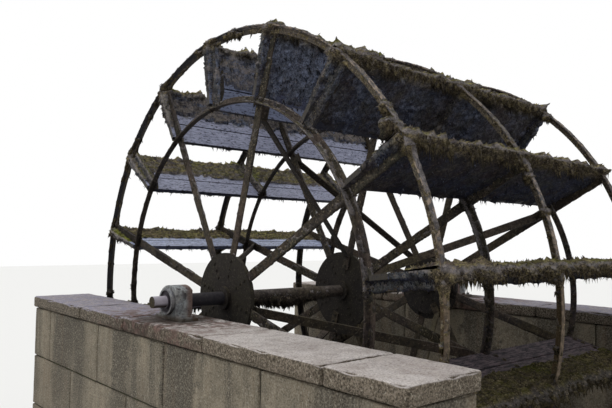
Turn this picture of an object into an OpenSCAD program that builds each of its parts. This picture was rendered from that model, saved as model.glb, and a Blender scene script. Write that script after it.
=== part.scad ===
// Undershot water wheel of three iron frames and sixteen timber paddles,
// turning in two bearings on low masonry walls. The wheel turns about X.

/* [Wheel] */
// Outer radius of the rims
wheel_r = 2432; // [2300:1:2600]
// Inner radius of the inner rings
inner_ring_r = 1760; // [1650:1:1850]
// Distance between two neighbouring frames
bay_w = 1480; // [1200:1:1700]
// Angle of the first spoke above the horizontal
first_spoke = 15.5; // [0:0.5:22]
// Clear height under the wheel
wheel_clear = 318; // [100:1:500]

/* [Rims and rings] */
// Radial leg of the rim angle
rim_leg = 65; // [50:1:80]
// Leg of the rim angle that lies across the spoke ends
rim_flange = 62; // [60:1:80]
// Radial leg of the inner ring angle
ring_leg = 60; // [45:1:70]
// Leg of the inner ring angle that stands out from the frame
ring_flange = 56; // [40:1:60]
// Thickness of both ring angles
ring_t = 8; // [6:0.5:10]
// Angle left open where two segments of a rim or ring meet on a spoke
segment_joint = 0.06; // [0.03:0.01:0.2]

/* [Spokes] */
// Width of a spoke channel across its web
spoke_w = 90; // [85:1:100]
// Depth of a spoke channel along the axle
spoke_depth = 55; // [45:1:58]
// Thickness of the spoke channel
spoke_t = 8; // [6:0.5:10]
// Distance from the axle to the inner end of a spoke
spoke_root = 140; // [135:1:200]

/* [Hubs] */
// Radius of the outer cheek of a hub
hub_r = 405; // [360:1:430]
// Radius of its core and inner cheek
core_r = 335; // [320:1:355]
// Thickness of each cheek of a hub
hub_cheek = 18; // [12:1:24]
// Height of the lip on the outer cheek, between the spokes
hub_lip = 20; // [10:1:40]
// Radius of the raised boss round the axle
hub_boss_r = 105; // [90:1:130]
// Height of that boss above the cheek
hub_boss_h = 30; // [15:1:50]
// Gap round a spoke in its pocket
pocket_gap = 0.3; // [0.1:0.1:1]

/* [Axle] */
// Diameter of the axle between the bearings
axle_d = 115; // [106:1:130]
// Diameter of the journals
journal_d = 100; // [80:1:104]
// Diameter of the free end outside each bearing
stub_d = 96; // [70:1:99]
// Length of that free end
stub_l = 122; // [60:1:200]
// Radial gap between journal and sleeve
running_gap = 0.06; // [0.02:0.01:0.1]
// Radial gap between the axle and a hub
seat_gap = 0.05; // [0.02:0.01:0.2]

/* [Paddles] */
// Thickness of the boards
board_t = 40; // [25:1:50]
// Width of the outer board
outer_board_w = 414; // [350:1:440]
// Width of the inner board
inner_board_w = 218; // [150:1:240]
// Gap between the two boards of a paddle
board_gap = 12; // [6:1:60]
// Gap between the outer board and the rim flange
rim_gap = 3; // [2:0.5:10]
// Length of board that stands out past the first and last frame
board_end = 42; // [20:1:55]
// Gap round the rings where the boards are notched
notch_gap = 3; // [2:0.5:6]

/* [Brackets] */
// Leg of a bracket along the axle, which carries the boards
bracket_leg = 120; // [90:1:140]
// Leg of a bracket in the plane of the frame
bracket_web = 80; // [60:1:90]
// Thickness of a bracket
bracket_t = 8; // [6:0.5:10]
// Width of the bracket leg at its inner tip
bracket_tip = 50; // [30:1:80]
// Radial length of the taper at that tip
bracket_taper = 200; // [100:1:260]

/* [Braces] */
// Width of a brace bar
brace_w = 80; // [70:1:84]
// Thickness of a brace bar
brace_t = 16; // [12:1:20]
// Length of the feet of a brace
brace_foot = 130; // [100:1:160]
// Distance from the axle to the inner end of a brace
brace_root = 240; // [190:1:250]
// Gap between the outer foot of a brace and the inner ring
brace_gap = 10; // [2:1:30]

/* [Walls] */
// Thickness of a wall
wall_t = 600; // [400:1:800]
// Length of a wall
wall_l = 5340; // [4800:1:5600]
// Shift of a wall along the channel, away from the middle
wall_shift = 100; // [0:1:200]
// Distance between the frame and the coping beside it
wall_away = 190; // [120:1:260]
// Thickness of the coping
coping_t = 120; // [80:1:160]
// Overhang of the coping
coping_over = 20; // [0:1:40]
// Lengths of the coping slabs from the near end, before the last one
slab_l = [620, 1235, 1250, 925]; // [400:1:1300]
// Joint between two slabs
slab_joint = 8; // [4:1:15]

/* [Bearings] */
// Height of the axle above the coping
bearing_h = 150; // [148:1:220]
// Distance from the frame to the housing
housing_away = 420; // [380:1:440]
// Length of the housing along the axle
housing_l = 155; // [140:1:180]
// Half width of the housing across the axle
housing_w = 120; // [118:1:130]
// Height of the flat sides of the cap above the axle
cap_side = 95; // [85:1:105]
// Height of the round top of the cap above the axle
cap_top = 135; // [120:1:145]
// Width of the recess in each side of the cap
side_recess_w = 26; // [16:1:30]
// Depth of that recess
side_recess_d = 14; // [6:1:18]
// Height of that recess
side_recess_h = 60; // [30:1:70]
// Length of the sole of the housing across the axle
sole_w = 440; // [420:1:520]
// Thickness of the sole
sole_t = 26; // [20:1:36]
// Slope between the sole and the sides of the housing
sole_slope = 14; // [6:1:20]
// Outer radius of the sleeve
sleeve_r = 72; // [66:1:74]
// Radius of the round end flange
flange_r = 110; // [104:1:118]
// Thickness of the end flange
flange_t = 30; // [22:1:40]
// Radius of the step behind the end flange
step_r = 98; // [90:1:102]
// Length of that step
step_l = 6; // [3:1:12]
// Depth of the recess in the outer face of the end flange
recess_d = 14; // [8:1:18]
// Width of the edge left round that recess
recess_edge = 16; // [10:1:20]
// Width of the edge left round the bore
bore_edge = 12; // [6:1:16]
// Radius of the bolts that hold the cap and the sole
bolt_r = 11; // [8:0.5:12]
// Radius of the flat seats under the nuts of the cap
seat_r = 20; // [16:1:21]
// Length of the threads of the cap bolts in the lower half
thread_l = 60; // [40:1:80]
// Distance from the axle to the cap bolts
cap_bolt = 97; // [95:1:98]
// Distance from the axle to the sole bolts
sole_bolt = 185; // [170:1:190]
// Distance between the two bolts of each pair, along the axle
bolt_pitch = 90; // [80:1:100]

/* [Hidden] */
$fn = 96;

axle_h = wheel_r + wheel_clear;
spoke_n = 8;
spoke_step = 360 / spoke_n;
paddle_step = spoke_step / 2;
spoke_end = wheel_r - ring_t;
frame_out = spoke_depth + hub_cheek;
wall_in = bay_w + wall_away + coping_over;
housing_in = bay_w + housing_away;
housing_out = housing_in + housing_l;
flange_out = housing_out + step_l + flange_t;
axle_end = flange_out + stub_l;
wall_h = axle_h - bearing_h - coping_t;
iron = [0.20, 0.17, 0.15];
rust = [0.30, 0.22, 0.17];
timber = [0.42, 0.40, 0.42];
stone = [0.62, 0.59, 0.54];
coping_stone = [0.72, 0.68, 0.63];
grey_paint = [0.60, 0.60, 0.62];
liner = [0.50, 0.50, 0.53];

// Turns a shape drawn with the radius along +X, the way round along +Y and
// the axle along +Z into its place on the wheel.
module on_wheel(angle = 0) {
    translate([0, 0, axle_h])
        rotate([angle, 0, 0])
            multmatrix([[0, 0, 1, 0], [1, 0, 0, 0], [0, 1, 0, 0], [0, 0, 0, 1]])
                children();
}

// Frames 1 and 2 open towards the far wall, and frame 3 is their mirror image.
module frame_place(i, angle = 0) {
    if (i == 3)
        on_wheel(angle)
            translate([0, 0, bay_w])
                mirror([0, 0, 1])
                    children();
    else
        on_wheel(angle)
            translate([0, 0, (i - 2) * bay_w])
                children();
}

// One rolled angle, bent to a ring of segments that meet on the spokes. The
// profile is drawn as radius and height.
module ring(points) {
    for (k = [0 : spoke_n - 1])
        rotate([0, 0, first_spoke + k * spoke_step + segment_joint / 2])
            rotate_extrude(angle = spoke_step - segment_joint, $fn = 180)
                polygon(points);
}

module rim(i) {
    color(iron)
        frame_place(i)
            ring([
                [wheel_r - rim_leg, -ring_t], [wheel_r, -ring_t], [wheel_r, rim_flange - ring_t],
                [spoke_end, rim_flange - ring_t], [spoke_end, 0], [wheel_r - rim_leg, 0],
            ]);
}

module inner_ring(i) {
    color(iron)
        frame_place(i)
            ring([
                [inner_ring_r, 0], [inner_ring_r, -ring_flange], [inner_ring_r + ring_t, -ring_flange],
                [inner_ring_r + ring_t, -ring_t], [inner_ring_r + ring_leg, -ring_t],
                [inner_ring_r + ring_leg, 0],
            ]);
}

// Rolled channel with its web in the plane of the frame. Its outer end is
// cut to the curve of the rim that it meets.
module spoke(end_r) {
    intersection() {
        translate([spoke_root, 0, 0])
            rotate([90, 0, 90])
                linear_extrude(wheel_r)
                    polygon([
                        [-spoke_w / 2, 0], [spoke_w / 2, 0], [spoke_w / 2, spoke_depth],
                        [spoke_w / 2 - spoke_t, spoke_depth], [spoke_w / 2 - spoke_t, spoke_t],
                        [spoke_t - spoke_w / 2, spoke_t], [spoke_t - spoke_w / 2, spoke_depth],
                        [-spoke_w / 2, spoke_depth],
                    ]);
        cylinder(r = end_r, h = spoke_depth, $fn = 180);
    }
}

module spokes(i) {
    color(rust)
        for (k = [0 : spoke_n - 1])
            frame_place(i, first_spoke + k * spoke_step)
                spoke(spoke_end);
}

// Cast hub: a wide outer cheek with a lip, a core with a pocket for each spoke,
// and an inner cheek as wide as the core.
module hub(i) {
    color(iron)
        frame_place(i, first_spoke)
            difference() {
                union() {
                    translate([0, 0, -hub_cheek])
                        cylinder(r = hub_r, h = hub_cheek + hub_lip);
                    translate([0, 0, -hub_cheek])
                        cylinder(r = core_r, h = spoke_depth + 2 * hub_cheek);
                    translate([0, 0, -hub_cheek - hub_boss_h])
                        cylinder(r = hub_boss_r, h = spoke_depth + 2 * (hub_cheek + hub_boss_h));
                }
                for (k = [0 : spoke_n - 1])
                    rotate([0, 0, k * spoke_step])
                        translate([spoke_root - pocket_gap, -spoke_w / 2 - pocket_gap, -pocket_gap])
                            cube([hub_r, spoke_w + 2 * pocket_gap, spoke_depth + 2 * pocket_gap]);
                translate([0, 0, -hub_cheek - hub_boss_h - 1])
                    cylinder(d = axle_d + 2 * seat_gap, h = spoke_depth + 2 * (hub_cheek + hub_boss_h) + 2);
            }
}

// Turned shaft with a thinner journal and a free end beyond each bearing.
module axle() {
    color(rust)
        on_wheel()
            rotate_extrude()
                polygon([
                    [0, -axle_end], [stub_d / 2, -axle_end], [stub_d / 2, -flange_out],
                    [journal_d / 2, -flange_out], [journal_d / 2, -housing_in],
                    [axle_d / 2, -housing_in], [axle_d / 2, housing_in],
                    [journal_d / 2, housing_in], [journal_d / 2, flange_out],
                    [stub_d / 2, flange_out], [stub_d / 2, axle_end], [0, axle_end],
                ]);
}

// Angle bracket between the inner ring and the rim, half way between two
// spokes. Its leg along the axle narrows to the inner tip.
module bracket() {
    tip_r = inner_ring_r;
    intersection() {
        union() {
            translate([tip_r, -spoke_w / 2, 0])
                cube([wheel_r - tip_r, bracket_web, bracket_t]);
            translate([0, bracket_t - spoke_w / 2, 0])
                rotate([90, 0, 0])
                    linear_extrude(bracket_t)
                        polygon([
                            [tip_r, 0], [wheel_r, 0], [wheel_r, bracket_leg],
                            [tip_r + bracket_taper, bracket_leg], [tip_r, bracket_tip],
                        ]);
        }
        cylinder(r = spoke_end, h = bracket_leg, $fn = 180);
    }
}

module brackets(i) {
    color(iron)
        for (k = [0 : spoke_n - 1])
            frame_place(i, first_spoke + paddle_step + k * spoke_step)
                bracket();
}

// Room that the rings of one frame take in a board, radius by height.
module ring_room() {
    rotate_extrude($fn = 180)
        polygon([
            [wheel_r - rim_leg - notch_gap, -ring_t - notch_gap], [wheel_r + 1, -ring_t - notch_gap],
            [wheel_r + 1, notch_gap], [wheel_r - rim_leg - notch_gap, notch_gap],
        ]);
    rotate_extrude($fn = 180)
        polygon([
            [1, -ring_flange - notch_gap], [inner_ring_r + ring_leg + notch_gap, -ring_flange - notch_gap],
            [inner_ring_r + ring_leg + notch_gap, notch_gap], [1, notch_gap],
        ]);
}

// One paddle: two boards, bolted behind the spokes or brackets of all frames
// and notched where they pass the rings.
module paddle(k) {
    outer_edge = sqrt(pow(spoke_end - rim_gap, 2) - pow(spoke_w / 2 + board_t, 2));
    half_l = bay_w + ring_t + board_end;
    color(timber)
        difference() {
            on_wheel(first_spoke + k * paddle_step)
                for (board = [[outer_edge, outer_board_w],
                              [outer_edge - outer_board_w - board_gap, inner_board_w]])
                    translate([board[0] - board[1], -spoke_w / 2 - board_t, -half_l])
                        cube([board[1], board_t, 2 * half_l]);
            for (i = [1 : 3])
                frame_place(i)
                    ring_room();
        }
}

// A flat bar bent to a foot at each end. It runs from the plane x = a at the
// hub to the plane x = b at the inner ring, in the plane of its spoke. Both
// bends are mitred, so that the bar keeps its thickness on the slope.
module brace(a, b) {
    way = sign(b - a);
    top_r = inner_ring_r - brace_gap;
    low_r = brace_root + brace_foot;
    high_r = top_r - brace_foot;
    run = abs(b - a);
    rise = high_r - low_r;
    slope = acos(brace_t / norm([run, rise])) - atan2(rise, run);
    mitre = brace_t * tan(slope / 2);
    rotate([-90, 0, 0])
        translate([0, 0, -brace_w / 2])
            linear_extrude(brace_w)
                rotate(-90)
                    polygon([
                        [a, brace_root], [a + way * brace_t, brace_root],
                        [a + way * brace_t, low_r - mitre], [b, high_r],
                        [b, top_r], [b - way * brace_t, top_r],
                        [b - way * brace_t, high_r + mitre], [a, low_r],
                    ]);
}

module brace_at(k, a, b) {
    on_wheel(first_spoke + k * spoke_step)
        brace(a, b);
}

module braces_bay_1() {
    color(rust) {
        for (k = [0, 4])
            brace_at(k, frame_out - bay_w, 0);
        for (k = [2, 6])
            brace_at(k, -hub_cheek, spoke_depth - bay_w);
    }
}

module braces_bay_2() {
    color(rust) {
        for (k = [1, 5])
            brace_at(k, bay_w - frame_out, spoke_depth);
        for (k = [3, 7])
            brace_at(k, frame_out, bay_w - spoke_depth);
    }
}

// The near side is drawn, and the far side is the same turned half a turn.
module side_place(side) {
    rotate([0, 0, side == "far" ? 180 : 0])
        children();
}

module wall(side) {
    color(stone)
        side_place(side)
            translate([-wall_in - wall_t, -wall_l / 2 - wall_shift, 0])
                cube([wall_t, wall_l, wall_h]);
}

// A short slab at the near end, then longer ones, and a last one that fills
// the rest of the wall.
module coping(side) {
    coping_l = wall_l + 2 * coping_over;
    slabs = len(slab_l);
    joints = [
        for (i = 0, y = 0; i <= slabs; y = y + slab_l[min(i, slabs - 1)] + slab_joint, i = i + 1) y
    ];
    color(coping_stone)
        side_place(side)
            translate([-wall_in - wall_t - coping_over, -coping_l / 2 - wall_shift, wall_h])
                for (i = [0 : slabs])
                    translate([0, joints[i], 0])
                        cube([
                            wall_t + 2 * coping_over,
                            i < slabs ? slab_l[i] : coping_l - joints[i],
                            coping_t,
                        ]);
}

// Places a bearing piece drawn with Z along the axle, from the wheel side out,
// X across the axle and Y up.
module bearing_place(side) {
    side_place(side)
        translate([-housing_in, 0, axle_h])
            rotate([90, 0, -90])
                children();
}

module bolt_holes(at, from, to) {
    for (side = [-1, 1], end = [-1, 1])
        translate([side * at, from, housing_l / 2 + end * bolt_pitch / 2])
            rotate([-90, 0, 0])
                cylinder(r = bolt_r, h = to - from);
}

// Lower half of the split housing, with its sole and the holes for the bolts.
module bearing_body(side) {
    sole_top = sole_t - bearing_h;
    color(grey_paint)
        bearing_place(side)
            difference() {
                linear_extrude(housing_l)
                    polygon([
                        [-sole_w / 2, -bearing_h], [sole_w / 2, -bearing_h], [sole_w / 2, sole_top],
                        [housing_w + sole_slope, sole_top], [housing_w, sole_top + sole_slope],
                        [housing_w, 0], [-housing_w, 0], [-housing_w, sole_top + sole_slope],
                        [-housing_w - sole_slope, sole_top], [-sole_w / 2, sole_top],
                    ]);
                translate([0, 0, -1])
                    cylinder(r = sleeve_r + seat_gap, h = housing_l + 2);
                bolt_holes(cap_bolt, -thread_l, 1);
                bolt_holes(sole_bolt, -bearing_h - 1, sole_top + 1);
            }
}

// Upper half of the housing: a cap with flat sides, a round top, flat seats for
// the nuts and a recess in the middle of each side.
module bearing_cap(side) {
    top_r = (pow(housing_w, 2) + pow(cap_top - cap_side, 2)) / (2 * (cap_top - cap_side));
    color(grey_paint)
        bearing_place(side)
            difference() {
                intersection() {
                    translate([0, cap_top - top_r, 0])
                        cylinder(r = top_r, h = housing_l, $fn = 180);
                    translate([-housing_w, 0, 0])
                        cube([2 * housing_w, cap_top, housing_l]);
                }
                translate([0, 0, -1])
                    cylinder(r = sleeve_r + seat_gap, h = housing_l + 2);
                bolt_holes(cap_bolt, -1, cap_side + 1);
                for (across = [-1, 1], end = [-1, 1])
                    translate([across * cap_bolt, cap_side, housing_l / 2 + end * bolt_pitch / 2])
                        rotate([-90, 0, 0])
                            cylinder(r = seat_r, h = cap_top);
                for (across = [-1, 1])
                    translate([across * housing_w, cap_side / 2, housing_l / 2])
                        cube([2 * side_recess_d, side_recess_h, side_recess_w], center = true);
            }
}

// Sleeve that the journal runs in, with its stepped round end flange.
module bearing_sleeve(side) {
    bore_r = journal_d / 2 + running_gap;
    full_l = housing_l + step_l + flange_t;
    color(liner)
        bearing_place(side)
            rotate_extrude()
                polygon([
                    [bore_r, 0], [sleeve_r, 0], [sleeve_r, housing_l], [step_r, housing_l],
                    [step_r, housing_l + step_l], [flange_r, housing_l + step_l], [flange_r, full_l],
                    [flange_r - recess_edge, full_l], [flange_r - recess_edge, full_l - recess_d],
                    [bore_r + bore_edge, full_l - recess_d], [bore_r + bore_edge, full_l],
                    [bore_r, full_l],
                ]);
}

wall("near");  // near_wall
coping("near");  // near_coping
bearing_body("near");  // near_bearing_body
bearing_cap("near");  // near_bearing_cap
bearing_sleeve("near");  // near_bearing_sleeve
wall("far");  // far_wall
coping("far");  // far_coping
bearing_body("far");  // far_bearing_body
bearing_cap("far");  // far_bearing_cap
bearing_sleeve("far");  // far_bearing_sleeve
axle();
hub(1);  // hub_1
hub(2);  // hub_2
hub(3);  // hub_3
spokes(1);  // spokes_1
spokes(2);  // spokes_2
spokes(3);  // spokes_3
rim(1);  // rim_1
rim(2);  // rim_2
rim(3);  // rim_3
inner_ring(1);  // inner_ring_1
inner_ring(2);  // inner_ring_2
inner_ring(3);  // inner_ring_3
brackets(1);  // brackets_1
brackets(2);  // brackets_2
brackets(3);  // brackets_3
braces_bay_1();
braces_bay_2();
paddle(0);  // paddle_01
paddle(1);  // paddle_02
paddle(2);  // paddle_03
paddle(3);  // paddle_04
paddle(4);  // paddle_05
paddle(5);  // paddle_06
paddle(6);  // paddle_07
paddle(7);  // paddle_08
paddle(8);  // paddle_09
paddle(9);  // paddle_10
paddle(10);  // paddle_11
paddle(11);  // paddle_12
paddle(12);  // paddle_13
paddle(13);  // paddle_14
paddle(14);  // paddle_15
paddle(15);  // paddle_16
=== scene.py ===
"""Undershot water wheel: three iron frames and sixteen timber paddles, grown
over with moss, on one axle in two bearings on low masonry walls."""
import math
import random
import bpy
import numpy as np
from mathutils import Matrix, Vector, noise


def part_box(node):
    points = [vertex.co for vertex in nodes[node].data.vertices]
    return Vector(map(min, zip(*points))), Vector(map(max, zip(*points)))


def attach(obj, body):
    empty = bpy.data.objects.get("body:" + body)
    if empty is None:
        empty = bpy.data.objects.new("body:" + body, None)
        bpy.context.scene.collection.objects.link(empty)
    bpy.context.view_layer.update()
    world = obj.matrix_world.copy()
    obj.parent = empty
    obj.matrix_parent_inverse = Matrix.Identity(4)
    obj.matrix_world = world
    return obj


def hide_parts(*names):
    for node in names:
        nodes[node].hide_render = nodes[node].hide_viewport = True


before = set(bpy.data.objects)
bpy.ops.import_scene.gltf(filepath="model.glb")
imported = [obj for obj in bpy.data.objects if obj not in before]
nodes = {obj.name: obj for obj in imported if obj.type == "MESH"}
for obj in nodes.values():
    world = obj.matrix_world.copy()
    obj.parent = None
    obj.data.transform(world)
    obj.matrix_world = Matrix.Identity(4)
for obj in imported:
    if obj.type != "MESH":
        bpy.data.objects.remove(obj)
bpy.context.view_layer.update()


# Camera
# It stands on the bank at the near end of the near wall, at eye height, and
# looks slightly up across the wheel.
eye = Vector((-4.7126, -4.7527, 3.3123))
yaw, pitch, roll = 0.7215, 0.0521, 0.0154
ahead = Vector((math.sin(yaw) * math.cos(pitch), math.cos(yaw) * math.cos(pitch), math.sin(pitch)))
level = Vector((math.cos(yaw), -math.sin(yaw), 0.0))
upright = level.cross(ahead)
right = math.cos(roll) * level + math.sin(roll) * upright
top = math.cos(roll) * upright - math.sin(roll) * level
lens = bpy.data.cameras.new("camera")
lens.sensor_width = 36.0
lens.lens = 36.87
camera = bpy.data.objects.new("camera", lens)
camera.matrix_world = Matrix((
    (right.x, top.x, -ahead.x, eye.x),
    (right.y, top.y, -ahead.y, eye.y),
    (right.z, top.z, -ahead.z, eye.z),
    (0.0, 0.0, 0.0, 1.0),
))
bpy.context.scene.collection.objects.link(camera)
bpy.context.scene.camera = camera
bpy.context.scene.view_settings.view_transform = "Standard"


# Floor and light
# A plain pale floor under the walls, an even overcast sky that is brighter
# above than at the sides, and one wide soft lamp high over the bank.
def seen(red, green, blue):
    """A colour as it looks on screen, 0 to 255, as the linear colour that a shader takes."""
    linear = []
    for share in (red / 255, green / 255, blue / 255):
        linear.append(share / 12.92 if share <= 0.04045 else ((share + 0.055) / 1.055) ** 2.4)
    return (*linear, 1.0)


def wire(tree, kind, sockets=None, **settings):
    """Adds a shader node. A socket takes either a value or the output that feeds it."""
    made = tree.nodes.new(kind)
    for name, value in settings.items():
        setattr(made, name, value)
    for name, value in (sockets or {}).items():
        if isinstance(value, bpy.types.NodeSocket):
            tree.links.new(value, made.inputs[name])
        else:
            made.inputs[name].default_value = value
    return made


def mesh_object(name, vertices, faces, material, smooth=True):
    """A mesh object from plain lists or arrays."""
    mesh = bpy.data.meshes.new(name)
    mesh.from_pydata([tuple(v) for v in vertices], [], [tuple(f) for f in faces])
    mesh.update()
    mesh.materials.append(material)
    if smooth:
        mesh.polygons.foreach_set("use_smooth", [True] * len(mesh.polygons))
    made = bpy.data.objects.new(name, mesh)
    bpy.context.scene.collection.objects.link(made)
    return made


def shader(name, roughness, gloss=0.12):
    """A new material, with its tree and its Principled shader."""
    made = bpy.data.materials.new(name)
    made.use_nodes = True
    tree = made.node_tree
    principled = tree.nodes["Principled BSDF"]
    principled.inputs["Roughness"].default_value = roughness
    principled.inputs["Specular IOR Level"].default_value = gloss
    return made, tree, principled


def maths(operation, *values):
    """The result of a calculation with shader values. The first of them comes from a node."""
    return wire(values[0].id_data, "ShaderNodeMath", dict(enumerate(values)), operation=operation).outputs[0]


def part(vector, letter):
    """One coordinate of a shader vector."""
    return wire(vector.id_data, "ShaderNodeSeparateXYZ", {0: vector}).outputs[letter]


floor_paint, tree, principled = shader("floor_paint", 0.9)
principled.inputs["Base Color"].default_value = seen(236, 236, 234)
reach = 60.0
corners = [(-reach, -reach, 0), (reach, -reach, 0), (reach, reach, 0), (-reach, reach, 0)]
floor = mesh_object("floor", corners, [(0, 1, 2, 3)], floor_paint)

world = bpy.data.worlds.new("sky")
bpy.context.scene.world = world
world.use_nodes = True
tree = world.node_tree
rays = wire(tree, "ShaderNodeLightPath").outputs
height = part(wire(tree, "ShaderNodeTexCoord").outputs["Generated"], "Z")
dome = wire(tree, "ShaderNodeMapRange", {"Value": height, "From Min": -0.1, "From Max": 0.9,
                                         "To Min": 0.28, "To Max": 0.95})
clear = maths("MAXIMUM", rays["Is Camera Ray"], rays["Is Glossy Ray"])
clear = maths("MAXIMUM", clear, rays["Is Transmission Ray"])
strength = wire(tree, "ShaderNodeMix", {0: clear, 2: dome.outputs[0], 3: 1.0}, data_type="FLOAT")
background = tree.nodes["Background"]
background.inputs["Color"].default_value = (1.0, 1.0, 1.0, 1.0)
tree.links.new(strength.outputs[0], background.inputs["Strength"])

lamp = bpy.data.lights.new("lamp", "SUN")
lamp.energy = 1.1
lamp.angle = math.radians(50)
lamp_object = bpy.data.objects.new("lamp", lamp)
lamp_object.rotation_euler = (math.radians(-24), math.radians(-30), 0)
bpy.context.scene.collection.objects.link(lamp_object)


# Weather
# What age and water leave on every surface of the wheel and its walls: where
# it faces the sky, broad patches, fine specks and streaks that ran down.
def vectors(operation, *values):
    """The result of a calculation with shader vectors. A length or a distance is a plain value."""
    made = wire(values[0].id_data, "ShaderNodeVectorMath", dict(enumerate(values)), operation=operation)
    return made.outputs["Value" if operation in ("LENGTH", "DISTANCE") else "Vector"]


def pattern(vector, scale, detail, roughness=0.5):
    """Cloudy noise."""
    return wire(vector.id_data, "ShaderNodeTexNoise", {"Vector": vector, "Scale": scale, "Detail": detail,
                                                       "Roughness": roughness}).outputs["Fac"]


def ramp(value, low, high, to_low=0.0, to_high=1.0):
    """Spreads the range from low to high smoothly over a new one."""
    return wire(value.id_data, "ShaderNodeMapRange", {"Value": value, "From Min": low, "From Max": high,
                                                      "To Min": to_low, "To Max": to_high},
                interpolation_type="SMOOTHSTEP").outputs[0]


weather = bpy.data.node_groups.new("weather", "ShaderNodeTree")
weather.interface.new_socket(name="Seed", in_out="INPUT", socket_type="NodeSocketFloat")
seed = wire(weather, "NodeGroupInput").outputs["Seed"]
place = wire(weather, "ShaderNodeTexCoord").outputs
shifted = vectors("ADD", place["Object"], seed)
drawn_out = vectors("MULTIPLY", shifted, (7.0, 7.0, 0.5))
found = {"Up": part(place["Normal"], "Z")}
for label, source, scale, detail, low, high in (
        ("Patches", shifted, 1.6, 6.0, 0.40, 0.62),
        ("Blotches", shifted, 9.0, 6.0, 0.44, 0.62),
        ("Mottles", shifted, 24.0, 4.0, 0.42, 0.60),
        ("Specks", shifted, 55.0, 3.0, 0.56, 0.68),
        ("Grit", shifted, 80.0, 5.0, 0.45, 0.60),
        ("Streaks", drawn_out, 1.0, 4.0, 0.48, 0.70),
        ("Fine", shifted, 160.0, 5.0, 0.30, 0.70)):
    found[label] = ramp(pattern(source, scale, detail, 0.62), low, high)
for label in found:
    weather.interface.new_socket(name=label, in_out="OUTPUT", socket_type="NodeSocketFloat")
wire(weather, "NodeGroupOutput", found)


# Walls
# Low walls of dressed limestone blocks in courses, laid in thin mortar joints.
# The arrises are worn, rain has streaked the faces, and damp darkens the foot.
def weathered(tree, seed):
    """The outputs of the weather group in a material."""
    made = wire(tree, "ShaderNodeGroup", node_tree=weather)
    made.inputs["Seed"].default_value = seed
    return made.outputs


def times(value, *others):
    """The product of shader values."""
    for other in others:
        value = maths("MULTIPLY", value, other)
    return value


def blend(share, first, second):
    """Mixes two colours by a share from 0, the first, to 1, the second."""
    return wire(share.id_data, "ShaderNodeMix", {0: share, 6: first, 7: second}, data_type="RGBA").outputs[2]


def layered(colour, *layers):
    """Lays colours over one another. Each has a mask and the share that it covers where the mask is full."""
    for mask, share, over in layers:
        colour = blend(times(mask, share) if share < 1 else mask, colour, seen(*over))
    return colour


def surface(principled, colour, height, distance, strength=0.6):
    """Gives a shader its colour and fine relief."""
    tree = colour.id_data
    tree.links.new(colour, principled.inputs["Base Color"])
    bump = wire(tree, "ShaderNodeBump", {"Height": height, "Distance": distance, "Strength": strength})
    tree.links.new(bump.outputs[0], principled.inputs["Normal"])


wall_stone, tree, principled = shader("wall_stone", 0.88)
age = weathered(tree, 3.0)
other = weathered(tree, 9.0)
block_tone = wire(tree, "ShaderNodeNewGeometry").outputs["Random Per Island"]
place = wire(tree, "ShaderNodeTexCoord").outputs["Object"]
height = part(place, "Z")
bands = pattern(vectors("MULTIPLY", place, (2.3, 2.3, 0.22)), 1.0, 5.0, 0.6)
soaked = ramp(bands, 0.44, 0.57)
for middle, reach in ((-0.58, 0.27), (0.38, 0.17)):
    away = maths("ABSOLUTE", maths("SUBTRACT", part(place, "Y"), middle))
    frayed = maths("MULTIPLY_ADD", age["Blotches"], -0.10, away)
    soaked = maths("MAXIMUM", soaked, ramp(frayed, reach, reach - 0.12))
fading = ramp(height, 0.9, 2.3, 0.35, 0.90)
ragged = ramp(age["Grit"], 0.0, 1.0, 0.75, 1.0)
colour = layered(blend(age["Patches"], seen(146, 137, 120), seen(112, 105, 93)),
                 (block_tone, 0.45, (154, 142, 122)),
                 (age["Blotches"], 0.45, (96, 91, 80)),
                 (times(soaked, fading, ragged), 1, (47, 45, 44)),
                 (age["Streaks"], 0.45, (80, 75, 66)),
                 (other["Streaks"], 0.22, (124, 96, 70)),
                 (age["Grit"], 0.45, (74, 68, 58)),
                 (age["Specks"], 0.55, (58, 53, 47)),
                 (other["Grit"], 0.30, (168, 160, 144)),
                 (other["Specks"], 0.45, (176, 170, 156)),
                 (ramp(height, 1.1, 0.2), 0.6, (62, 64, 48)))
surface(principled, colour, age["Fine"], 0.004, 0.7)

mortar, tree, principled = shader("mortar", 0.95)
age = weathered(tree, 5.0)
colour = layered(blend(age["Patches"], seen(70, 66, 58), seen(50, 47, 40)),
                 (age["Blotches"], 0.5, (64, 70, 40)))
surface(principled, colour, age["Fine"], 0.003)

rng = random.Random(7)


def steps(low, high, edge, cell):
    """Grid lines from low to high: close together at both edges, then even."""
    inner = max(1, round((high - low - 2 * edge) / cell))
    middle = np.linspace(low + edge, high - edge, inner + 1)
    return np.concatenate(([low, low + edge * 0.35], middle, [high - edge * 0.35, high]))


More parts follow.
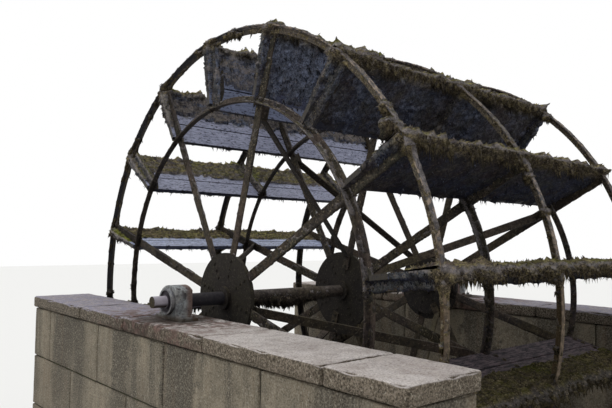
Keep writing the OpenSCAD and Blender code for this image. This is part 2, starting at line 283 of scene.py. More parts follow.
def stone(low, high, edge, dent, cells, seed, chip=1.0):
    """A dressed block between two corners, with rounded, chipped arrises and uneven faces."""
    low, high = np.array(low, float), np.array(high, float)
    lines = [steps(low[i], high[i], edge, cells[i]) for i in range(3)]
    last = [len(line) - 1 for line in lines]
    index = {}
    points = []
    faces = []

    def corner(key):
        if key not in index:
            index[key] = len(points)
            points.append([lines[i][key[i]] for i in range(3)])
        return index[key]

    for axis in range(3):
        a, b = (axis + 1) % 3, (axis + 2) % 3
        for side in (0, last[axis]):
            for i in range(last[a]):
                for j in range(last[b]):
                    quad = []
                    for di, dj in ((0, 0), (1, 0), (1, 1), (0, 1)):
                        key = [0, 0, 0]
                        key[axis], key[a], key[b] = side, i + di, j + dj
                        quad.append(corner(tuple(key)))
                    faces.append(quad if side else quad[::-1])
    points = np.array(points)
    centre = np.clip(points, low + edge, high - edge)
    out = points - centre
    length = np.linalg.norm(out, axis=1, keepdims=True)
    out = out / np.maximum(length, 1e-9)
    rim = np.sort(np.abs(points - centre), axis=1)[:, 1] / edge
    shift = Vector((seed * 3.1, seed * 1.7, seed * 2.3))
    for n in range(len(points)):
        spot = Vector(points[n]) + shift
        uneven = noise.fractal(spot * 7.0, 0.8, 2.0, 4)
        bite = max(0.0, noise.fractal(spot * 14.0, 0.8, 2.0, 2) - 0.05) * rim[n] * chip
        points[n] = centre[n] + out[n] * (edge + dent * (uneven - 0.9) - edge * bite * 1.8)
    return points, faces


def joined(name, parts, material):
    """One mesh object from several lists of points and faces."""
    points, faces, count = [], [], 0
    for part_points, part_faces in parts:
        points.extend(part_points)
        faces.extend([[i + count for i in face] for face in part_faces])
        count += len(part_points)
    return mesh_object(name, points, faces, material)


course_tops = [2.478, 1.950, 1.420, 0.890, 0.360, 0.0]
block_l = 1.230
first_joint = -1.580
joint, joint_depth = 0.007, 0.013
for side, sign in (("near", -1), ("far", 1)):
    low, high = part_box(side + "_wall")
    parts = []
    for course in range(5):
        above, below = course_tops[course], course_tops[course + 1]
        offset = first_joint - (course % 2) * block_l / 2
        ends = [low.y]
        y = offset - 4 * block_l
        while y < high.y - 0.2:
            if y > low.y + 0.2:
                ends.append(y)
            y += block_l + rng.uniform(-0.015, 0.015) * (course > 0)
        ends.append(high.y)
        if sign > 0:
            ends = sorted(low.y + high.y - y for y in ends)
        for start, end in zip(ends, ends[1:]):
            block_low = (low.x, start + (joint / 2 if start > low.y else 0), below + joint / 2)
            block_high = (high.x, end - (joint / 2 if end < high.y else 0), above - joint / 2)
            parts.append(stone(block_low, block_high, edge=0.014, dent=0.0030, cells=(0.09, 0.065, 0.065),
                               seed=rng.uniform(0, 50)))
    blocks = joined(side + "_wall_blocks", parts, wall_stone)
    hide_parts(side + "_wall")
    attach(blocks, "root")
    core = stone((low.x + joint_depth, low.y + joint_depth, 0.004),
                 (high.x - joint_depth, high.y - joint_depth, 2.474),
                 edge=0.02, dent=0.002, cells=(0.2, 0.12, 0.08), seed=3.0 + sign)
    core = joined(side + "_wall_mortar", [core], mortar)
    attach(core, "root")


# Coping
# Five pale slabs with worn edges lie along each wall. Rain and lichen have
# spotted their tops, and rust has run over the slab that carries the bearing.
coping_stone, tree, principled = shader("coping_stone", 0.8)
age = weathered(tree, 11.0)
other = weathered(tree, 14.0)
place = wire(tree, "ShaderNodeTexCoord").outputs["Object"]
past_bearing = times(part(place, "Y"), maths("SIGN", part(place, "X")), -1.0)
slate = ramp(maths("ADD", times(age["Patches"], 0.5), past_bearing), 0.15, 0.75)
colour = layered(blend(age["Patches"], seen(212, 206, 203), seen(182, 174, 171)),
                 (slate, 1, (142, 140, 158)),
                 (age["Blotches"], 0.40, (142, 130, 124)),
                 (other["Mottles"], 0.35, (204, 196, 188)),
                 (age["Grit"], 0.45, (120, 110, 102)))
# The fronts: weathered stone, also painted darker than the tops as painted shade.
front_weathered_and_shaded = layered(blend(age["Patches"], seen(116, 106, 92), seen(88, 80, 68)),
                (other["Blotches"], 0.5, (76, 69, 56)),
                (slate, 0.65, (62, 58, 50)),
                (age["Streaks"], 0.5, (74, 67, 56)),
                (age["Grit"], 0.80, (48, 42, 37)),
                (other["Grit"], 0.5, (158, 146, 132)),
                (other["Specks"], 0.6, (176, 168, 152)))
from_bearing = vectors("DISTANCE", vectors("ABSOLUTE", place), (1.97, 0.0, 2.60))
rusty = times(ramp(from_bearing, 1.3, 0.3), ramp(age["Blotches"], 0.0, 0.8))
crusted = times(ramp(from_bearing, 1.0, 0.3), other["Mottles"])
# A dark patch round the foot of the bearing: dirt, and the painted shadow of its housing.
bearing_shadow_and_dirt = times(ramp(from_bearing, 0.45, 0.22), ramp(age["Patches"], 0.0, 1.0, 0.6, 0.95))
colour = layered(blend(ramp(age["Up"], 0.85, 0.35), colour, front_weathered_and_shaded),
                 (age["Specks"], 0.6, (92, 84, 74)),
                 (rusty, 0.85, (112, 88, 82)),
                 (crusted, 0.8, (62, 52, 46)),
                 (bearing_shadow_and_dirt, 1, (56, 48, 42)))
surface(principled, colour, age["Fine"], 0.004, 0.6)

slab_lengths = [0.620, 1.235, 1.250, 0.925]
slab_joint = 0.008
for side, sign in (("near", -1), ("far", 1)):
    low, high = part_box(side + "_coping")
    cuts = [0.0]
    for length in slab_lengths:
        cuts.append(cuts[-1] + length + slab_joint)
    cuts.append(high.y - low.y + slab_joint)
    parts = []
    for start, end in zip(cuts, cuts[1:]):
        first, second = low.y + start, low.y + end - slab_joint
        if sign > 0:
            first, second = high.y - end + slab_joint, high.y - start
        parts.append(stone((low.x, first, low.z), (high.x, second, high.z), edge=0.020, dent=0.0022,
                           cells=(0.045, 0.045, 0.03), seed=rng.uniform(0, 50), chip=1.4))
    slabs = joined(side + "_coping_slabs", parts, coping_stone)
    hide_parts(side + "_coping")
    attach(slabs, "root")


# Bearings
# Split cast housings with a cap bolted on, and a sleeve whose big round flange
# closes the outer end. Their grey paint is chipped, and rust shows through.
axle_height = 2.750


def from_axle(place):
    """How far a point of a surface is from the middle of the axle."""
    return vectors("LENGTH", vectors("MULTIPLY", vectors("SUBTRACT", place, (0.0, 0.0, axle_height)),
                                     (0.0, 1.0, 1.0)))


def grey_metal(name, seed, paint_colour, worn_colour, rust_colour):
    """Grey paint, worn in patches and rusty at the foot and towards the wheel. The flange's hollow is
    darkened as dirt and painted shade, and faces that look down as painted shade.
    """
    made, tree, principled = shader(name, 0.6)
    age = weathered(tree, seed)
    other = weathered(tree, seed + 2.0)
    place = wire(tree, "ShaderNodeTexCoord").outputs["Object"]
    far_out = maths("ABSOLUTE", part(place, "X"))
    # The flange's recess: dirt, and painted shade.
    dark_shaded_hollow = times(ramp(from_axle(place), 0.095, 0.091), ramp(far_out, 2.065, 2.075))
    colour = layered(blend(age["Patches"], seen(*paint_colour), seen(*worn_colour)),
                     (other["Blotches"], 0.5, (176, 176, 172)),
                     (age["Blotches"], 0.45, rust_colour),
                     (age["Mottles"], 0.55, (72, 72, 78)),
                     (ramp(far_out, 1.975, 1.925), 0.8, (104, 80, 70)),
                     (age["Streaks"], 0.8, (74, 68, 66)),
                     (age["Specks"], 0.7, (50, 44, 42)),
                     # Faces that look down: painted shade.
                     (ramp(age["Up"], 0.1, -0.7), 0.7, (52, 48, 50)),
                     (ramp(part(place, "Z"), 2.655, 2.605), 0.8, (70, 58, 44)),
                     (dark_shaded_hollow, 0.9, (48, 43, 50)))
    principled.inputs["Metallic"].default_value = 0.15
    surface(principled, colour, age["Fine"], 0.002, 0.5)
    return made


bearing_paint = grey_metal("bearing_paint", 17.0, (158, 164, 166), (132, 134, 136), (110, 94, 86))
bearing_metal = grey_metal("bearing_metal", 19.0, (148, 152, 156), (118, 120, 126), (104, 94, 90))


def paint(node, material):
    """Gives a piece of the plain model its material."""
    nodes[node].data.materials.clear()
    nodes[node].data.materials.append(material)


for side in ("near", "far"):
    paint(side + "_bearing_body", bearing_paint)
    paint(side + "_bearing_cap", bearing_paint)
    paint(side + "_bearing_sleeve", bearing_metal)


def turned(points, faces, at, axis, rings, turn=0.0):
    """Adds a small solid of rings round an axis. Each has a radius, a height and a number of corners."""
    axis = Vector(axis).normalized()
    side = axis.orthogonal().normalized()
    other = axis.cross(side)
    last, last_count = 0, 0
    for radius, up, count in rings:
        start = len(points)
        for n in range(count):
            angle = turn + 2 * math.pi * n / count
            spoke = side * math.cos(angle) + other * math.sin(angle)
            points.append(Vector(at) + axis * up + spoke * radius)
        if last_count == count:
            for n in range(count):
                m = (n + 1) % count
                faces.append((last + n, last + m, start + m, start + n))
        elif last_count:
            faces.append(tuple(range(last, last + last_count)))
        last, last_count = start, count
    faces.append(tuple(range(last, last + last_count)))


def fastener(points, faces, at, axis, size, tall, washer=0.0):
    """Adds a bolt head or nut with chamfered corners, on a round washer if it has one."""
    rings = []
    if washer:
        rings = [(washer, -0.001, 10), (washer, 0.004, 10), (washer * 0.96, 0.005, 10)]
    rings += [(size, 0.005 if washer else -0.001, 6), (size, tall * 0.82, 6), (size * 0.82, tall, 6)]
    turned(points, faces, at, axis, rings, rng.uniform(0, math.pi))


bolt_rows = (1.9325, 2.0225)
# Bolts of the cap and of the sole: how far from the axle, height of the seat, size and washer
cap_bolt = (0.097, 2.845, 0.016, 0.018)
sole_bolt = (0.185, 2.626, 0.018, 0.021)
for side, sign in (("near", -1), ("far", 1)):
    points, faces = [], []
    for across in (-1, 1):
        for along in bolt_rows:
            for apart, seat, size, washer in (cap_bolt, sole_bolt):
                at = (sign * along, across * apart, seat)
                fastener(points, faces, at, (0, 0, 1), size, tall=0.022, washer=washer)
    bolts = mesh_object(side + "_bearing_bolts", points, faces, bearing_metal, smooth=False)
    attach(bolts, "root")


# Iron of the wheel
# Rolled sections and cast hubs, never painted: black-brown rust, pale dust and
# lichen with painted sky light where they face the sky, painted shade where they
# face down, and a green film in patches.
def rusted_iron(name, seed, dark, rust, dust_and_sky_light, film, spotted=0.5):
    """An iron material, with its shader, its colour so far and its weather."""
    made, tree, principled = shader(name, 0.7)
    principled.inputs["Metallic"].default_value = 0.1
    age = weathered(tree, seed)
    other = weathered(tree, seed + 1.5)
    up = age["Up"]
    # Faces that look up are paler: dust and lichen, and painted sky light.
    lit = times(ramp(up, 0.0, 0.8), 0.8, ramp(other["Blotches"], 0.0, 1.0, 0.4, 1.0))
    grown = times(other["Patches"], ramp(up, -0.6, 0.7, 0.25, 0.85))
    colour = layered(blend(age["Patches"], seen(*dark), seen(*rust)),
                     (age["Mottles"], 0.7, rust),
                     (lit, 1, dust_and_sky_light),
                     (grown, 1, film),
                     # Faces that look down: painted shade.
                     (ramp(up, 0.0, -0.5), 0.6, (24, 22, 22)),
                     (other["Mottles"], 0.6, (34, 30, 29)),
                     (age["Specks"], spotted, (120, 110, 98)),
                     (other["Specks"], 0.5, (26, 23, 22)))
    return made, principled, colour, age


def finish_iron(principled, colour, age):
    """Gives iron its colour and the fine pits of its rust."""
    surface(principled, colour, age["Fine"], 0.003, 0.7)


frame_iron, principled, colour, age = rusted_iron("frame_iron", 23.0, dark=(50, 50, 56), rust=(84, 73, 66),
                                                  dust_and_sky_light=(126, 116, 112), film=(82, 78, 58))
place = wire(colour.id_data, "ShaderNodeTexCoord").outputs["Object"]
near_side = ramp(part(place, "Y"), 0.3, -0.9)
radius = from_axle(place)
on_rim = ramp(radius, 2.350, 2.360)
web = times(on_rim, ramp(radius, 2.420, 2.412))
flange = ramp(radius, 2.412, 2.420)
splashed = times(near_side, on_rim, ramp(part(place, "Z"), 3.6, 3.0))
# Rims: the web is painted darker as shade under the flange, and the flange face lighter and bluish as
# painted sky light. On the near side the flange's pale lichen carries a painted highlight, and the far side
# is painted darker as shade.
colour = layered(colour,
                 (web, 0.55, (58, 53, 50)),
                 (times(near_side, web, age["Grit"]), 0.6, (132, 122, 104)),
                 (flange, 0.45, (92, 94, 104)),
                 (times(near_side, flange, age["Mottles"]), 0.7, (176, 158, 140)),
                 (times(on_rim, ramp(near_side, 0.5, 0.0)), 0.5, (38, 37, 36)),
                 (splashed, 0.65, (82, 66, 42)))
finish_iron(principled, colour, age)
hub_iron, *made = rusted_iron("hub_iron", 29.0, dark=(30, 28, 29), rust=(42, 38, 35), dust_and_sky_light=(78, 72, 60),
                              film=(50, 47, 35), spotted=0.25)
finish_iron(*made)
brace_iron, *made = rusted_iron("brace_iron", 31.0, dark=(44, 42, 43), rust=(74, 63, 55),
                                dust_and_sky_light=(108, 99, 90), film=(74, 68, 46))
finish_iron(*made)
axle_steel, principled, colour, age = rusted_iron("axle_steel", 37.0, dark=(48, 44, 43), rust=(72, 65, 59),
                                                  dust_and_sky_light=(120, 112, 108), film=(78, 70, 54))
place = wire(colour.id_data, "ShaderNodeTexCoord").outputs["Object"]
far_out = maths("ABSOLUTE", part(place, "X"))
# The stub beyond the bearing: pale worn steel, with painted shade on the faces that look down.
worn = layered(blend(age["Blotches"], seen(168, 162, 172), seen(128, 122, 128)),
               (ramp(age["Up"], -0.1, -0.8), 1, (60, 52, 48)))
colour = layered(colour, (ramp(far_out, 1.46, 1.54), 0.75, (46, 46, 54)))
colour = blend(ramp(far_out, 2.080, 2.086), colour, worn)
end_face = blend(age["Specks"], seen(52, 46, 34), seen(84, 74, 50))
colour = blend(ramp(far_out, 2.2115, 2.2128), colour, end_face)
finish_iron(principled, colour, age)
for i in (1, 2, 3):
    for kind in ("rim_", "inner_ring_", "brackets_"):
        paint(kind + str(i), frame_iron)
    paint("hub_" + str(i), hub_iron)
paint("braces_bay_1", brace_iron)
paint("braces_bay_2", brace_iron)
paint("axle", axle_steel)


# Spokes
# Eight flat bars to each frame, riveted on the outer faces of its rings, with
# edges eaten by rust. Distance blocks carry the feet of the braces.
bay = 1.480
first_spoke = 15.5
paddle_step = 22.5
# The number of each frame, its place along the axle and the way that it opens
frames = ((1, -bay, 1), (2, 0.0, 1), (3, bay, -1))


def on_wheel(angle, radius, around, along):
    """A point given by its angle, its radius, its way round and its place along the axle."""
    a = math.radians(angle)
    return Vector((along, radius * math.cos(a) - around * math.sin(a),
                   axle_height + radius * math.sin(a) + around * math.cos(a)))


bar_half, bar_t = 0.045, 0.012
# Two opposite corners of each solid, as radius, way round and way along the axle, and its grid
small_cells = (0.030, 0.030, 0.030)
flat_bar = ((0.140, -bar_half, -bar_t), (2.424, bar_half, 0.0), (0.065, 0.030, bar_t))
hub_block = ((0.142, -0.044, 0.001), (0.333, 0.044, 0.054), small_cells)
brace_block = ((1.630, -0.036, 0.0), (1.742, 0.036, 0.055), small_cells)
brace_feet = {1: (2, 6), 2: (1, 5), 3: (3, 7)}
for i, plane, way in frames:
    parts = []
    for k in range(8):
        solids = [flat_bar, hub_block] + ([brace_block] if k in brace_feet[i] else [])
        for low, high, cells in solids:
            points, faces = stone(low, high, edge=0.003, dent=0.0012, cells=cells,
                                  seed=rng.uniform(0, 50), chip=0.6)
            angle = first_spoke + 2 * paddle_step * k
            points = [on_wheel(angle, r, t, plane + way * x) for r, t, x in points]
            parts.append((points, [face[::way] for face in faces]))
    bars = joined("spoke_bars_" + str(i), parts, brace_iron)
    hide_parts("spokes_" + str(i))
    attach(bars, "wheel")


# Rims of the near and the middle frame
# Angle bar rolled to a ring, its flange turned outward over the ends of the spokes.
# It is riveted to spokes and brackets, and rust has eaten its edges.
rim_in, rim_out, leg_t, flange_w = 2.367, 2.432, 0.008, 0.048
steps_round = 480
outline = [(0.0, rim_in), (0.0, rim_out), (-flange_w, rim_out), (-flange_w, rim_out - leg_t),
           (-leg_t, rim_out - leg_t), (-leg_t, rim_in)]
for i, plane, way in frames[:2]:
    points, faces = [], []
    for n in range(steps_round):
        angle = n * 360 / steps_round
        for corner, (x, r) in enumerate(outline):
            worn = 0.0012 * noise.noise(on_wheel(angle, r, 0, plane + x) * 14)
            points.append(on_wheel(angle, min(r + worn, rim_out), 0, plane + x + worn))
            after = (corner + 1) % 6
            ahead = (n + 1) % steps_round
            faces.append((n * 6 + corner, n * 6 + after, ahead * 6 + after, ahead * 6 + corner))
    rim = mesh_object("angle_rim_" + str(i), points, faces, frame_iron, smooth=False)
    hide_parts("rim_" + str(i))
    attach(rim, "wheel")


# Bolts and rivets of the wheel
# Hex bolts hold the hub cheeks, the feet of the braces and the boards, and
# round rivets hold the rings to the spokes and brackets.
hub_rows, brace_rows = (0.205, 0.275, 0.345), (1.655, 1.715)
hub_out, hub_in, brace_t = 0.018, 0.073, 0.016
# Where a bolt goes through the foot of a brace: frame, side of the hub and spoke
braced = ((1, 1, 0), (2, -1, 2), (3, -1, 1), (2, 1, 3))
rivet = [(0.0140, -0.0005, 10), (0.01302, 0.0035, 10), (0.0098, 0.0075, 10), (0.0042, 0.0097, 10)]
for i, plane, way in frames:
    points, faces = [], []
    for k in range(8):
        angle = first_spoke + 2 * paddle_step * k
        for radius in hub_rows:
            for cheek, out in ((plane - way * hub_out, -way), (plane + way * hub_in, way)):
                if radius > 0.3 and out == way:
                    continue
                if radius > 0.25 and (i, out, k % 4) in braced:
                    cheek += brace_t * out
                at = on_wheel(angle, radius, 0, cheek)
                fastener(points, faces, at, (out, 0, 0), size=0.014, tall=0.008)
        for further, thick, pair in ((0, bar_t, (-0.024, 0.024)), (paddle_step, leg_t, (-0.020, 0.018))):
            for radius in (2.396, 1.796):
                for around in pair:
                    at = on_wheel(angle + further, radius, around, plane - way * thick)
                    turned(points, faces, at, (-way, 0, 0), rivet)
    bolts = mesh_object("frame_bolts_" + str(i), points, faces, hub_iron, smooth=False)
    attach(bolts, "wheel")

points, faces = [], []
for first, along, out in ((0, -0.016, -1), (2, -1.409, 1), (1, 0.071, 1), (3, 1.409, -1)):
    for k in (first, first + 4):
        for radius in brace_rows:
            at = on_wheel(first_spoke + 2 * paddle_step * k, radius, 0, along)
            fastener(points, faces, at, (out, 0, 0), size=0.017, tall=0.016, washer=0.021)
bolts = mesh_object("brace_bolts", points, faces, brace_iron, smooth=False)
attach(bolts, "wheel")


# Paddles
# Two sawn boards each, black and green with wet and painted shade below, and
# silvery with painted sky sheen and glints where they face the sky. Boards low on
# the wheel are painted darker, as wet wood and painted shade. Algae run down them,
# and the grain lies along the axle.
wet_timber, tree, principled = shader("wet_timber", 0.5, 0.15)
age = weathered(tree, 41.0)
other = weathered(tree, 44.0)
up = age["Up"]
given = wire(tree, "ShaderNodeTexCoord").outputs
place = given["Object"]
grain = pattern(vectors("MULTIPLY", place, (9.0, 42.0, 42.0)), 1.0, 7.0, 0.75)
flecks = pattern(vectors("MULTIPLY", place, (26.0, 75.0, 75.0)), 1.0, 3.0)
dry_grain = times(ramp(grain, 0.56, 0.66), ramp(other["Patches"], 0.5, 1.0))
# Faces that look down: black slime, and painted shade. Faces that look sideways take the shade colour, and
# faces that look up get paler, bluish painted sky light and sheen, the more the higher they face.
underside_slime_and_shade = layered(blend(ramp(grain, 0.35, 0.7), seen(20, 21, 30), seen(36, 36, 44)),
                (age["Streaks"], 0.55, (50, 46, 34)),
                (dry_grain, 0.6, (88, 86, 86)))
shade = blend(ramp(grain, 0.35, 0.7), seen(66, 70, 90), seen(88, 92, 112))
colour = blend(ramp(up, -0.75, -0.30), underside_slime_and_shade, shade)
for low, high, dark, light in (
        (-0.20, 0.12, (104, 112, 136), (136, 144, 170)),
        (0.15, 0.48, (138, 142, 166), (184, 188, 212)),
        (0.82, 0.95, (138, 148, 182), (200, 210, 236))):
    sky_lit_sheen = blend(ramp(grain, 0.35, 0.65), seen(*dark), seen(*light))
    colour = blend(ramp(up, low, high), colour, sky_lit_sheen)
end_grain = maths("ABSOLUTE", part(given["Normal"], "X"))
# Pale bluish flecks on faces that look up: painted glints of the sky.
sky_glints = times(ramp(up, 0.2, 0.5), ramp(flecks, 0.36, 0.28))
colour = layered(colour,
                 (ramp(end_grain, 0.7, 0.9), 1, (58, 54, 48)),
                 (ramp(flecks, 0.56, 0.64), 0.85, (40, 38, 46)),
                 (sky_glints, 0.7, (206, 212, 232)))
# Below the axle the boards turn dark purple-brown: wet wood, and painted shade of the wheel.
soaked = layered(blend(ramp(grain, 0.42, 0.58), seen(34, 29, 31), seen(100, 86, 88)),
                 (other["Blotches"], 0.5, (56, 47, 48)))
low_down = ramp(part(place, "Z"), 2.75, 2.35)
colour = blend(times(low_down, 0.97), colour, soaked)
film = ramp(maths("MULTIPLY_ADD", age["Blotches"], 0.16, from_axle(place)), 2.16, 2.34)
# The green film is painted darker on faces that look down, as shade.
green = blend(ramp(up, -0.5, 0.3), seen(38, 37, 36), seen(96, 92, 70))
colour = blend(times(film, 0.85), colour, green)
dull = ramp(maths("MAXIMUM", film, low_down), 0.0, 1.0, 0.40, 0.85)
tree.links.new(dull, principled.inputs["Roughness"])
surface(principled, colour, grain, 0.008, 0.9)
for k in range(1, 17):
    paint("paddle_%02d" % k, wet_timber)


def pointing(angle, radius, around, along):
    """A direction given as on_wheel takes a point."""
    return on_wheel(angle, radius, around, along) - Vector((0, 0, axle_height))


board_face, board_back = -0.045, -0.085
board_rows = (2.060, 2.200, 2.330, 1.860, 1.940)
points, faces = [], []
for k in range(16):
    angle = first_spoke + paddle_step * k
    for i, plane, way in frames:
        along = plane + way * (0.060 if k % 2 else 0.028)
        for radius in board_rows:
            fastener(points, faces, on_wheel(angle, radius, board_back, along),
                     pointing(angle, 0, -1, 0), size=0.016, tall=0.014, washer=0.024)
            fastener(points, faces, on_wheel(angle, radius, board_face + leg_t, along),
                     pointing(angle, 0, 1, 0), size=0.016, tall=0.018, washer=0.022)
bolts = mesh_object("paddle_bolts", points, faces, brace_iron, smooth=False)
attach(bolts, "wheel")


# Moss
# Years of spray have grown a lumpy crust over the rims and inner rings. It is
# olive where the sky reaches it, with painted sky light, and brown below, with
# painted shade, and it bulges into clumps.
def mossy(name, seed, brown, olive, earth, dark_shaded_hollow, sky_lit_tone, share, side, underside_shade, local_share=0.0):
    """Moss in patches of three colours, with painted sky light on faces that look up and a pale
    painted sheen on slanting faces, dark mottles that are dark moss and painted shade in its
    hollows, and a share of yellow-green in wet sunny places. Faces that look sideways and down
    take painted shade, with painted highlights on the crests near the rim. The far side of the
    wheel is painted darker as shade, by local_share."""
    made, tree, principled = shader(name, 0.95, 0.03)
    age = weathered(tree, seed)
    other = weathered(tree, seed + 12.0)
    up = age["Up"]
    given = wire(tree, "ShaderNodeTexCoord").outputs
    place = given["Object"]
    along = maths("ABSOLUTE", part(place, "X"))
    wettest = maths("MAXIMUM", ramp(along, 0.32, 0.06), ramp(along, 1.36, 1.48))
    bright = times(other["Patches"], ramp(wettest, 0.0, 1.0, 0.35, 1.0), ramp(up, 0.05, 0.7))
    colour = layered(blend(age["Blotches"], seen(*brown), seen(*olive)),
                     (age["Patches"], 0.6, earth),
                     # Faces that look up: paler, as painted sky light.
                     (times(ramp(up, 0.0, 0.8), other["Mottles"]), 0.7, sky_lit_tone),
                     (bright, share, (146, 154, 56)),
                     # Faces that slant: a pale lavender-grey painted sheen of the sky.
                     (ramp(up, 0.80, 0.50), 0.70, (176, 168, 172)),
                     # Dark mottles: dark moss, and painted shade in the crust's hollows.
                     (age["Mottles"], 0.60, dark_shaded_hollow),
                     # More of the painted sheen on slanting faces.
                     (ramp(up, 0.86, 0.56), 0.30, (170, 166, 168)),
                     (other["Grit"], 0.35, dark_shaded_hollow))
    end_face = ramp(maths("ABSOLUTE", part(given["Normal"], "X")), 0.55, 0.85)
    # Painted shade for faces that look sideways and down: the side colour, then the underside colour below.
    shaded = layered(seen(*side),
                     (end_face, 0.75, (94, 92, 76)),
                     (ramp(up, -0.05, -0.85), 1, underside_shade),
                     (other["Patches"], 0.6, (104, 92, 84)),
                     (other["Blotches"], 0.3, (92, 92, 70)))
    # On the crests near the rim: brown moss, with painted highlights.
    crest = layered(blend(other["Mottles"], seen(104, 92, 80), seen(166, 150, 100)),
                    (other["Grit"], 0.6, (222, 204, 168)))
    shaded = blend(times(ramp(from_axle(place), 2.30, 2.40), 0.85), shaded, crest)
    shaded = layered(shaded,
                     (age["Streaks"], 0.3, (98, 94, 78)),
                     (other["Streaks"], 0.6, (76, 62, 54)),
                     (age["Mottles"], 0.50, (30, 30, 38)),
                     (age["Grit"], 0.55, (34, 34, 40)))
    dry = times(age["Specks"], ramp(up, -0.4, 0.1, 0.15, 0.65))
    colour = layered(blend(ramp(up, 0.35, -0.05), colour, shaded),
                     (ramp(part(place, "Z"), 2.70, 2.30), 0.6, (46, 42, 26)),
                     (dry, 1, (188, 170, 138)),
                     (other["Specks"], 0.75, (30, 27, 28)),
                     # The far side of the wheel painted darker as shade, by the share passed in.
                     (ramp(part(place, "Y"), 0.2, 1.3), local_share, (42, 38, 36)))
    surface(principled, colour, age["Fine"], 0.010, 1.0)
    return made


# On the boards the shaded sides are a pale blue, as painted sky light.
moss = mossy("moss", 47.0, brown=(146, 132, 122), olive=(142, 138, 84), earth=(104, 90, 80),
             dark_shaded_hollow=(44, 36, 32), sky_lit_tone=(210, 196, 142), share=0.9, side=(172, 184, 214),
             underside_shade=(66, 69, 88))
rim_moss = mossy("rim_moss", 53.0, brown=(112, 104, 100), olive=(116, 108, 84), earth=(74, 68, 68),
                 dark_shaded_hollow=(48, 44, 46), sky_lit_tone=(170, 156, 140), share=0.3, side=(84, 78, 72),
                 underside_shade=(44, 41, 42), local_share=0.65)


def lumps(points, size, seed):
    """Smooth noise at each point, with lumps of that size, roughly between -1 and 1."""
    flat = points.reshape(-1, 3)
    shift = np.array((seed * 7.3, seed * 3.9, seed * 5.1))
    values = [noise.fractal(Vector(p), 0.75, 2.1, 4) for p in (flat + shift) / size]
    return np.array(values).reshape(points.shape[:-1])


def spots(angle, radius, around, along):
    """Points on the wheel, from arrays of angles, radii, ways round and places along the axle."""
    a, r, t, x = np.broadcast_arrays(np.radians(angle), radius, around, along)
    return np.stack((x, r * np.cos(a) - t * np.sin(a), axle_height + r * np.sin(a) + t * np.cos(a)), axis=-1)


def aims(angle, radius, around, along):
    """Directions given as spots takes points."""
    return spots(angle, radius, around, along) - np.array((0.0, 0.0, axle_height))


def crust(points, outward, depth, sag):
    """A crust on a grid of surface points. It stands out by its depth and ends just inside what it grows on
    where that is below zero. Thick parts hang down by the sag."""
    rows, columns = depth.shape
    raised = points + outward * np.where(depth > 0, depth, -0.004)[..., None]
    raised[..., 2] -= sag * np.maximum(depth - 0.015, 0.0)
    number = np.arange(rows * columns).reshape(rows, columns)
    quads = np.stack((number[:-1, :-1], number[1:, :-1], number[1:, 1:], number[:-1, 1:]), axis=-1)
    grown = np.maximum.reduce((depth[:-1, :-1], depth[1:, :-1], depth[1:, 1:], depth[:-1, 1:])) > 0
    quads = quads[grown]
    used = np.unique(quads)
    renumber = np.zeros(rows * columns, int)
    renumber[used] = np.arange(len(used))
    outward, depth = outward.reshape(-1, 3)[used], depth.reshape(-1)[used]
    return raised.reshape(-1, 3)[used], renumber[quads].tolist(), outward, depth


def ball(centre, size, seed):
    """A lumpy ball of moss, as a crust."""
    polar = np.radians(np.linspace(4, 176, 11))[:, None]
    turn = np.radians(np.linspace(0, 360, 19))
    outward = np.stack(np.broadcast_arrays(np.sin(polar) * np.cos(turn), np.sin(polar) * np.sin(turn),
                                           np.cos(polar)), axis=-1)
    points = np.array(centre) + outward * size * 0.3
    depth = size * (0.7 + 0.9 * lumps(points, size * 0.9, seed) + 0.35 * lumps(points, 0.03, seed + 1))
    depth[:, -1] = depth[:, 0]
    return crust(points, outward, np.maximum(depth, size * 0.15), 0.4)


def trace(corners, step):
    """Evenly spaced points along a bent line, and at each the direction to its left, eased at bends."""
    corners = np.array(corners, float)
    lengths = np.linalg.norm(np.diff(corners, axis=0), axis=1)
    marks = np.concatenate(([0], np.cumsum(lengths)))
    count = max(2, int(round(marks[-1] / step)))
    at = np.linspace(0, marks[-1], count + 1)
    line = np.stack([np.interp(at, marks, corners[:, i]) for i in range(2)], axis=1)
    ahead = np.gradient(line, axis=0)
    left = np.stack((-ahead[:, 1], ahead[:, 0]), axis=1)
    left /= np.maximum(np.linalg.norm(left, axis=1, keepdims=True), 1e-9)
    return at, line, left


def tufts(points, faces, roots, outward, count, shortest, longest, droop, thick, seed):
    """Adds small tapering tufts on chosen points of a crust. Droop bends them from outward to down."""
    chooser = np.random.default_rng(seed)
    if len(roots) == 0:
        return
    for n in chooser.integers(0, len(roots), count):
        root = Vector(roots[n])
        way = Vector(outward[n]) * (1 - droop) + Vector((0, 0, -1)) * droop
        way += Vector(chooser.normal(0, 0.28, 3))
        way.normalize()
        side = way.orthogonal().normalized()
        other = way.cross(side)
        long = chooser.uniform(shortest, longest)
        wide = thick * chooser.uniform(0.6, 1.3)
        start = len(points)
        turn = chooser.uniform(0, 6.28)
        for corner in range(3):
            angle = turn + corner * 2.094
            points.append(root - way * 0.006 + (side * math.cos(angle) + other * math.sin(angle)) * wide)
        points.append(root + way * long)
        faces.extend(((start, start + 1, start + 3), (start + 1, start + 2, start + 3),
                      (start + 2, start, start + 3)))


